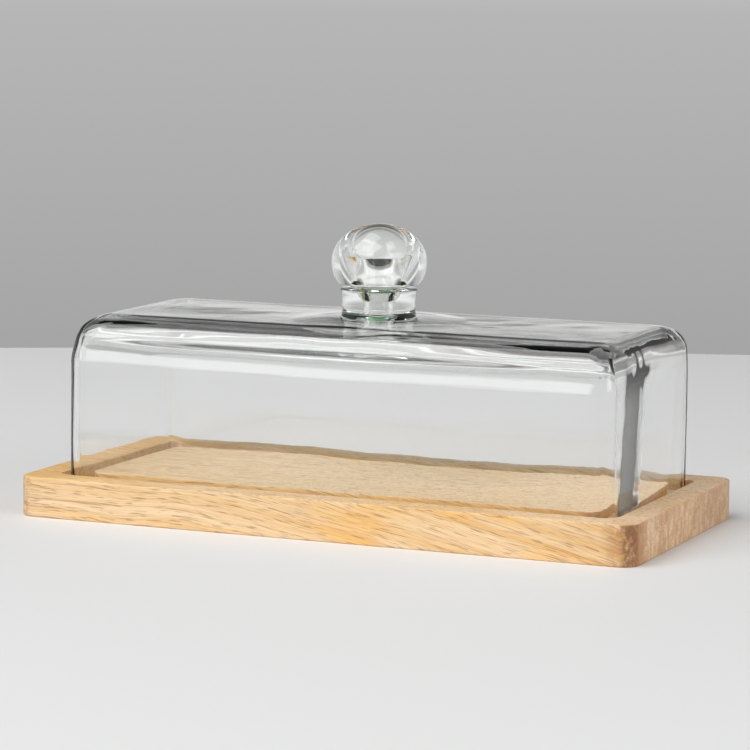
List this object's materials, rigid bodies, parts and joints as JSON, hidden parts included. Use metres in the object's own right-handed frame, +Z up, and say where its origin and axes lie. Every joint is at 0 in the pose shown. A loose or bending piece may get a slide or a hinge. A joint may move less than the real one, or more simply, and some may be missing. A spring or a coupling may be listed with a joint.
{
  "type": "cheese dome",
  "caption": "Rectangular glass cover with a solid glass knob that lifts off a grooved wooden serving board, for keeping cheese or butter.",
  "frame": {"origin": "centre of the board's underside", "axes": "+X along the board's length, +Y across its width away from the front edge, +Z up along the lift of the cover"},
  "size_m": [0.37, 0.177, 0.1681],
  "materials": {
    "board_wood": "oiled mango wood, satin",
    "cover_glass": "clear blown glass",
    "knob_glass": "clear solid glass"
  },
  "bodies": {
    "board": {"base_board": "board_wood"},
    "cover": {"glass_cover": "cover_glass", "glass_knob": "knob_glass"}
  },
  "joints": [
    {"name": "cover_lift", "type": "slide", "parent": "board", "child": "cover", "axis": [0, 0, 1], "range_m": [0, 0.15]}
  ]
}
